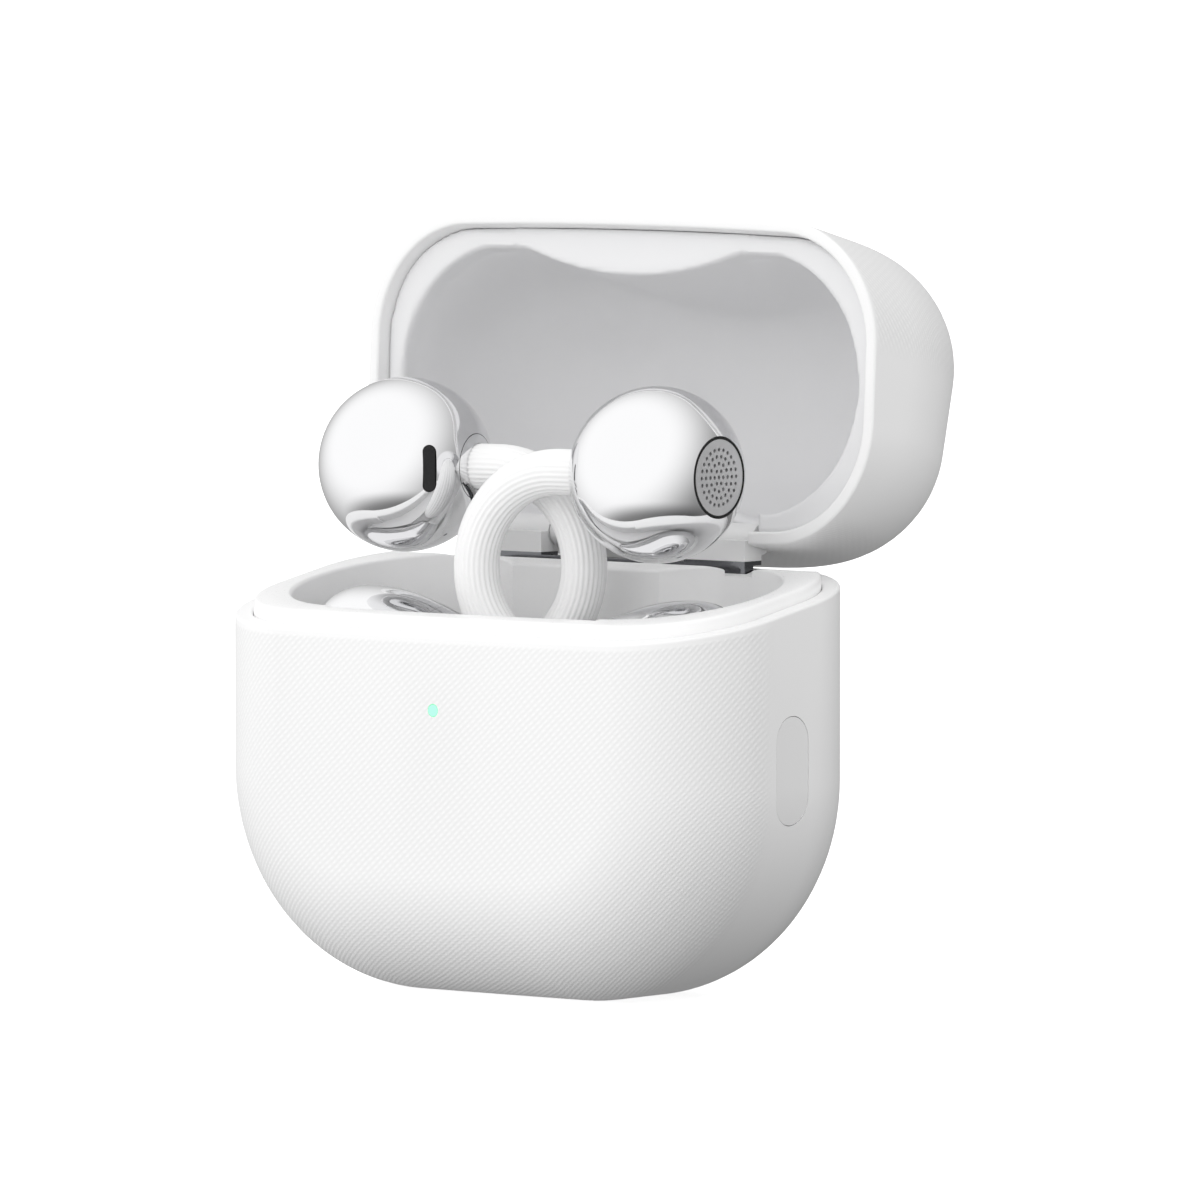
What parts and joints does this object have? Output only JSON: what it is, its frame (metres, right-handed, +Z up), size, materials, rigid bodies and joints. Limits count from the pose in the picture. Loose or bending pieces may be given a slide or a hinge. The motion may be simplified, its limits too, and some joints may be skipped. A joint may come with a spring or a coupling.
{
  "type": "wireless earbuds case",
  "caption": "Rounded charging case with a hinged lid, holding two clip-on earbuds with C-shaped bridges, ball speakers and bean ends.",
  "frame": {"origin": "centre of the foot's flat face, under the middle of the case", "axes": "+Z up, +Y to the back where the hinge is, +X to the side with the button"},
  "size_m": [0.05, 0.0441, 0.0597],
  "materials": {
    "case_shell": "moulded polycarbonate with a fine woven texture",
    "liner": "smooth satin-gloss moulded plastic",
    "button": "smooth satin moulded plastic",
    "inner_plastic": "plain moulded plastic",
    "light_pipe": "lit clear plastic",
    "trim_metal": "anodised",
    "steel": "stamped and plated",
    "hinge_steel": "polished",
    "hinge_arm": "moulded glass-filled nylon",
    "circuit_board": "solder mask",
    "electronic": "moulded",
    "battery_can": "plain",
    "foam": "closed-cell foam",
    "magnet": "nickel plated",
    "gold_contact": "gold plated",
    "bud_chrome": "mirror metallised plastic",
    "grille_steel": "etched plate, satin",
    "black_trim": "black",
    "bridge_silicone": "liquid silicone over a springy wire core"
  },
  "bodies": {
    "case": {"body_shell": "case_shell", "cradle": "liner", "button_switch": "electronic", "button_bracket": "inner_plastic", "light_pipe": "light_pipe", "light_chip": "electronic", "port_trim": "trim_metal", "usb_receptacle": "steel", "main_board": "circuit_board", "board_chips": "electronic", "battery": "battery_can", "battery_pad": "foam", "ballast": "steel", "pin_sleeves": "inner_plastic", "charge_flex": "circuit_board", "body_catch_magnet": "magnet", "left_seat_magnet": "magnet", "right_seat_magnet": "magnet", "hinge_bracket": "hinge_steel", "bracket_screws": "steel", "hinge_pin": "steel"},
    "lid": {"lid_shell": "case_shell", "lid_liner": "liner", "lid_catch_magnet": "magnet", "hinge_arm": "hinge_arm", "hinge_springs": "steel"},
    "side_button": {"side_button": "button"},
    "left_charge_pins": {"left_charge_pins": "gold_contact"},
    "right_charge_pins": {"right_charge_pins": "gold_contact"},
    "left_bean": {"left_bridge": "bridge_silicone", "left_bridge_wire": "steel", "left_bean_shell": "bud_chrome", "left_bean_cap": "bud_chrome", "left_bean_battery": "battery_can", "left_bean_contacts": "gold_contact"},
    "left_ball": {"left_ball_shell": "bud_chrome", "left_ball_collar": "bud_chrome", "left_speaker_grille": "grille_steel", "left_grille_seat": "black_trim", "left_driver": "electronic", "left_ear_board": "circuit_board", "left_mic_mesh": "black_trim"},
    "right_bean": {"right_bridge": "bridge_silicone", "right_bridge_wire": "steel", "right_bean_shell": "bud_chrome", "right_bean_cap": "bud_chrome", "right_bean_battery": "battery_can", "right_bean_contacts": "gold_contact"},
    "right_ball": {"right_ball_shell": "bud_chrome", "right_ball_collar": "bud_chrome", "right_speaker_grille": "grille_steel", "right_grille_seat": "black_trim", "right_driver": "electronic", "right_ear_board": "circuit_board", "right_mic_mesh": "black_trim"}
  },
  "joints": [
    {"name": "lid_hinge", "type": "hinge", "parent": "case", "child": "lid", "pos_m": [0, 0.0116, 0.03481], "axis": [-1, 0, 0], "range_deg": [-103.6, 0]},
    {"name": "side_button_press", "type": "slide", "parent": "case", "child": "side_button", "axis": [-1, 0, 0], "range_m": [0, 0.0003], "stiffness_N_per_m": 2000},
    {"name": "left_pins_press", "type": "slide", "parent": "case", "child": "left_charge_pins", "axis": [0, 0, -1], "range_m": [0, 0.0004], "stiffness_N_per_m": 400},
    {"name": "right_pins_press", "type": "slide", "parent": "case", "child": "right_charge_pins", "axis": [0, 0, -1], "range_m": [0, 0.0004], "stiffness_N_per_m": 400},
    {"name": "left_bud_lift", "type": "slide", "parent": "case", "child": "left_bean", "axis": [0, 0, 1], "range_m": [0, 0.035]},
    {"name": "left_bridge_flex", "type": "hinge", "parent": "left_bean", "child": "left_ball", "pos_m": [0.00345, 0.0017, 0.03283], "axis": [0, 1, 0], "range_deg": [0, 12], "stiffness_Nm_per_rad": 0.07, "deforming": ["left_bridge", "left_bridge_wire"]},
    {"name": "right_bud_lift", "type": "slide", "parent": "case", "child": "right_bean", "axis": [0, 0, 1], "range_m": [0, 0.035]},
    {"name": "right_bridge_flex", "type": "hinge", "parent": "right_bean", "child": "right_ball", "pos_m": [-0.00345, -0.0029, 0.03283], "axis": [0, -1, 0], "range_deg": [0, 12], "stiffness_Nm_per_rad": 0.07, "deforming": ["right_bridge", "right_bridge_wire"]}
  ]
}
